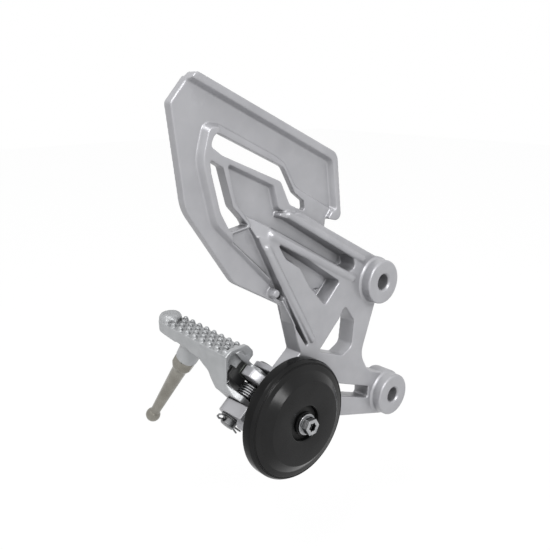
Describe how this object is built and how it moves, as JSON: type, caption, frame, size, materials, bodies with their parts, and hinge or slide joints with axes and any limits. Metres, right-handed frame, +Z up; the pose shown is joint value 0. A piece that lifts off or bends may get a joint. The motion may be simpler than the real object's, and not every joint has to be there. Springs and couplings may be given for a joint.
{
  "type": "motorcycle footrest bracket",
  "caption": "Left footrest bracket of a motorcycle: cast hanger with heel guard, folding spring-returned peg with a feeler pin, and a round vibration weight.",
  "frame": {"origin": "centre of the upper mounting boss's face, where the bracket meets the motorcycle's frame", "axes": "+X forward, +Y outboard along both mounting bores, +Z up"},
  "size_m": [0.1883, 0.142, 0.248],
  "materials": {
    "casting": "silver paint on a die casting, fine grain, satin",
    "peg": "silver paint on a die casting, satin",
    "weight": "black satin paint on a turned steel disc",
    "zinc": "bright zinc plating",
    "feeler": "dull turned steel",
    "black_rubber": "matte moulded rubber"
  },
  "bodies": {
    "hanger": {"footrest_bracket": "casting", "hinge_pin": "zinc", "pin_washer": "zinc", "split_pin": "zinc", "return_spring": "zinc", "stop_plate": "zinc", "damper_disc": "weight", "damper_bush_front": "black_rubber", "damper_bush_rear": "black_rubber", "damper_sleeve": "zinc", "damper_washer": "zinc", "damper_bolt": "zinc"},
    "peg": {"footpeg": "peg", "feeler_pin": "feeler"}
  },
  "joints": [
    {"name": "peg_fold", "type": "hinge", "parent": "hanger", "child": "peg", "pos_m": [-0.1064, 0.031, -0.0743], "axis": [0.766, 0, 0.6428], "range_deg": [0, 55], "stiffness_Nm_per_rad": 0.4, "springref_deg": -40.11, "deforming": ["return_spring"]}
  ]
}
